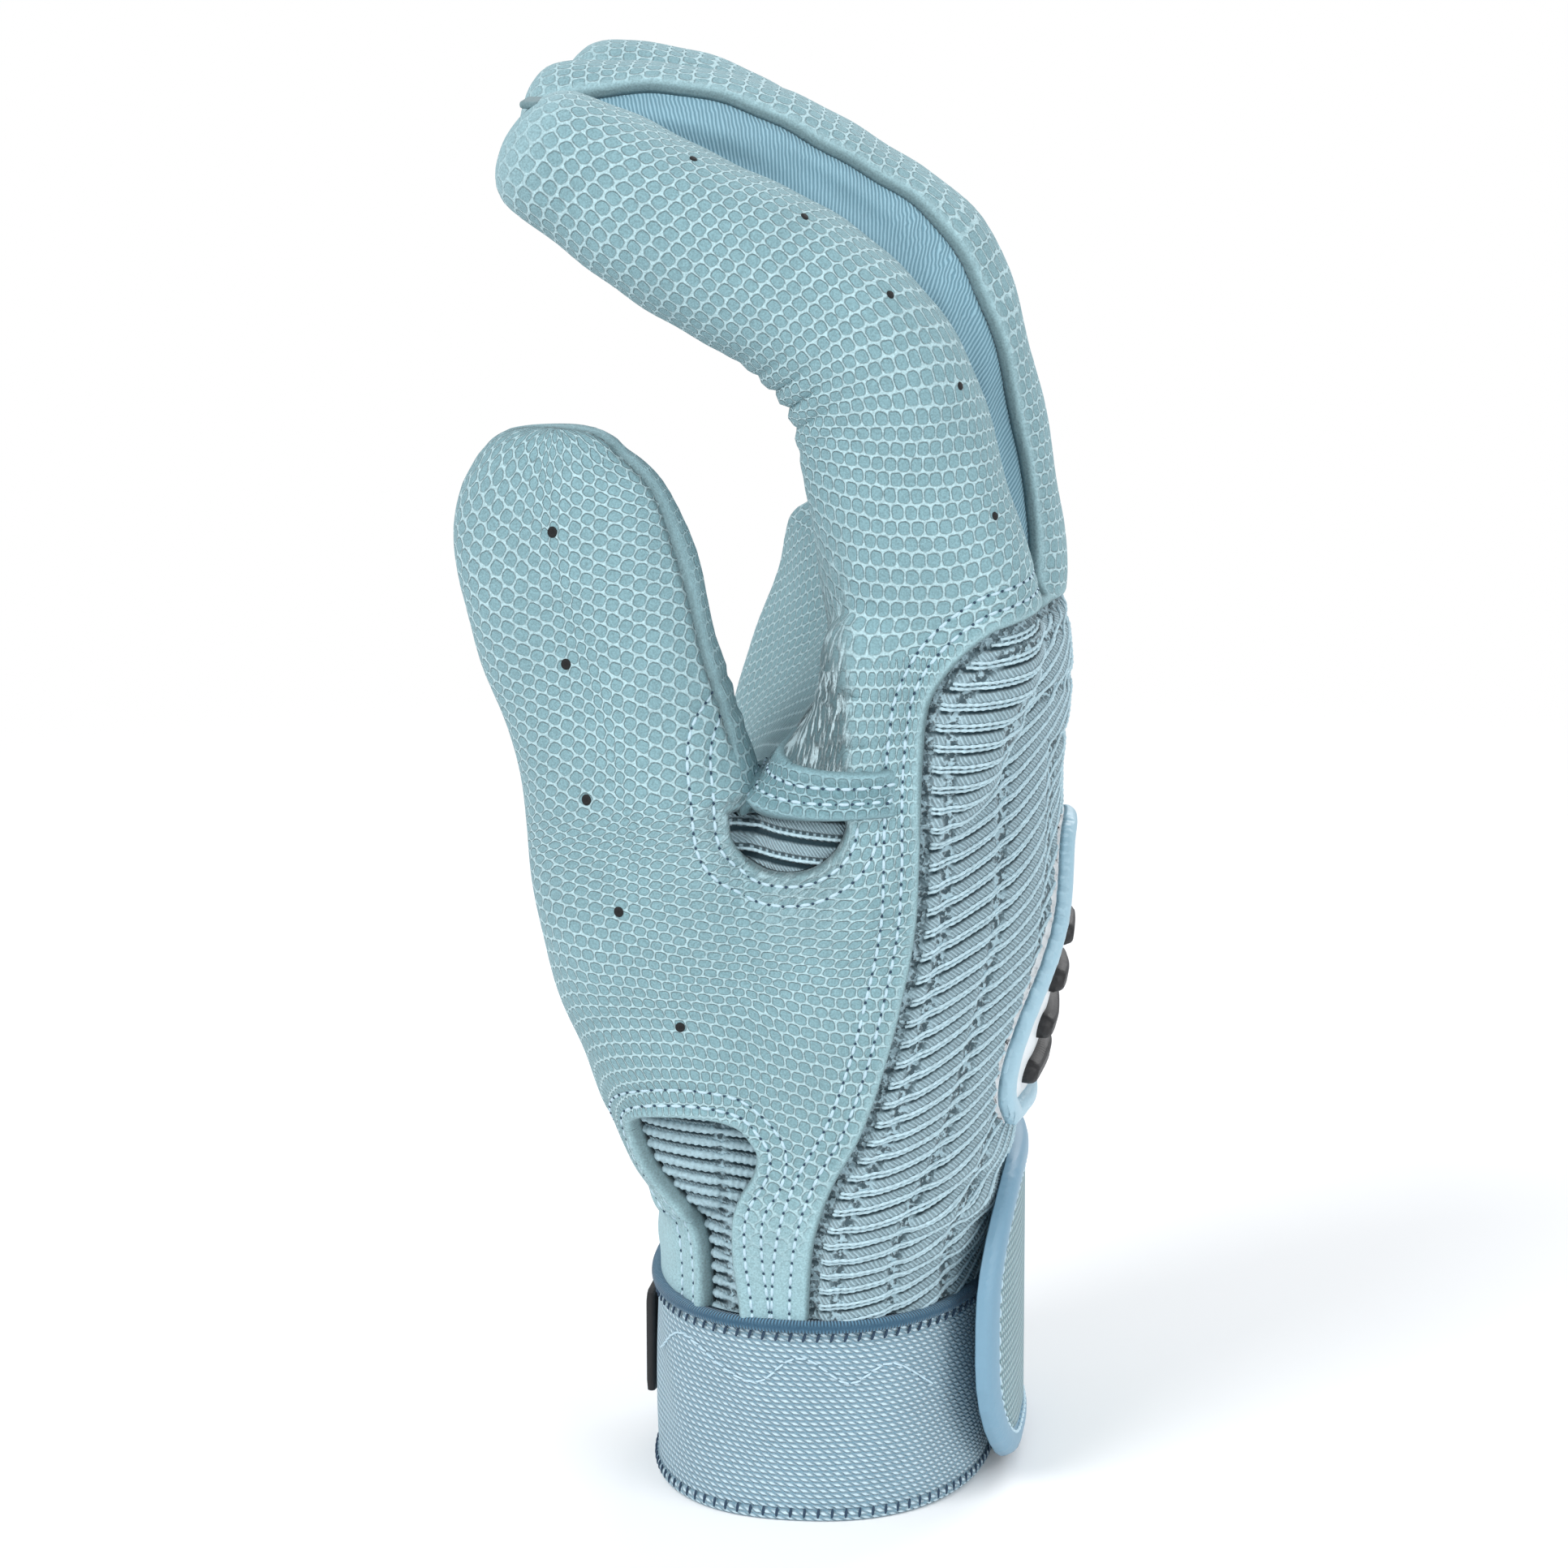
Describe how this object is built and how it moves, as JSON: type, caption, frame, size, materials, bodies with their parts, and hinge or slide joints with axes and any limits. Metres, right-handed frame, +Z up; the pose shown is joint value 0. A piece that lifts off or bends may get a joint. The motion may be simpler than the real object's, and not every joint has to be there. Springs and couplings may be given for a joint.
{
  "type": "batting glove",
  "caption": "Right-hand batting glove standing on its elastic cuff with curled fingers, dimpled leather palm and fingers, ribbed knit back and wrap-round closure strap.",
  "frame": {"origin": "middle of the glove's bounding box, on the plane that the cuff stands on", "axes": "+Z up from the cuff to the fingertips, +X the back of the hand, -X the palm, -Y the thumb side, +Y the little finger's side"},
  "size_m": [0.08, 0.088, 0.1963],
  "materials": {
    "leather": "matt dimpled leather",
    "stretch": "fine stretch twill",
    "knit": "raised spacer knit",
    "elastic": "elastic garter knit",
    "strap_cloth": "smooth padded coated cloth",
    "hook_and_loop": "hook and loop pile",
    "patch_white": "moulded soft plastic",
    "patch_rim": "moulded soft plastic",
    "black_rubber": "moulded rubber"
  },
  "bodies": {
    "hand": {"cuff_hem": "elastic", "cuff_band": "elastic", "cuff_binding": "stretch", "palm_panel": "leather", "back_panel": "knit", "crotch_strap": "leather", "crotch_window": "knit", "crotch_web": "leather", "wrist_window": "knit", "patch_base": "patch_white", "patch_rim": "patch_rim", "patch_rib_1": "black_rubber", "patch_rib_2": "black_rubber", "patch_rib_3": "black_rubber", "patch_rib_4": "black_rubber", "pull_tab": "black_rubber", "loop_pad": "hook_and_loop", "strap_anchor": "strap_cloth", "index_fold": "leather", "middle_fold": "leather", "ring_fold": "leather", "little_fold": "leather", "thumb_fold": "leather"},
    "index": {"index_leather": "leather", "index_gusset": "stretch"},
    "middle": {"middle_back": "leather", "middle_palm": "leather", "middle_gusset_near": "stretch", "middle_gusset_far": "stretch"},
    "ring": {"ring_back": "leather", "ring_palm": "leather", "ring_gusset_near": "stretch", "ring_gusset_far": "stretch"},
    "little": {"little_leather": "leather", "little_gusset": "stretch"},
    "thumb": {"thumb_front": "leather", "thumb_back": "leather"},
    "strap": {"closure_strap": "strap_cloth", "strap_inset": "knit", "hook_pad": "hook_and_loop"}
  },
  "joints": [
    {"name": "index_flex", "type": "hinge", "parent": "hand", "child": "index", "pos_m": [0.02282, -0.0298, 0.1288], "axis": [0, -1, 0], "range_deg": [-25, 10], "deforming": ["index_fold"]},
    {"name": "middle_flex", "type": "hinge", "parent": "hand", "child": "middle", "pos_m": [0.02642, -0.0086, 0.1291], "axis": [0, -1, 0], "range_deg": [-25, 20], "deforming": ["middle_fold"]},
    {"name": "ring_flex", "type": "hinge", "parent": "hand", "child": "ring", "pos_m": [0.02262, 0.0127, 0.1291], "axis": [0, -1, 0], "range_deg": [-25, 20], "deforming": ["ring_fold"]},
    {"name": "little_flex", "type": "hinge", "parent": "hand", "child": "little", "pos_m": [0.01142, 0.0325, 0.1291], "axis": [0, -1, 0], "range_deg": [-25, 20], "deforming": ["little_fold"]},
    {"name": "thumb_swing", "type": "hinge", "parent": "hand", "child": "thumb", "pos_m": [-0.01678, -0.0333, 0.105], "axis": [0, 1, 0], "range_deg": [-14, 8], "deforming": ["thumb_fold"]},
    {"name": "strap_open", "type": "hinge", "parent": "hand", "child": "strap", "pos_m": [0.01452, 0.0365, 0.0235], "axis": [0, 0, 1], "range_deg": [0, 110]}
  ]
}
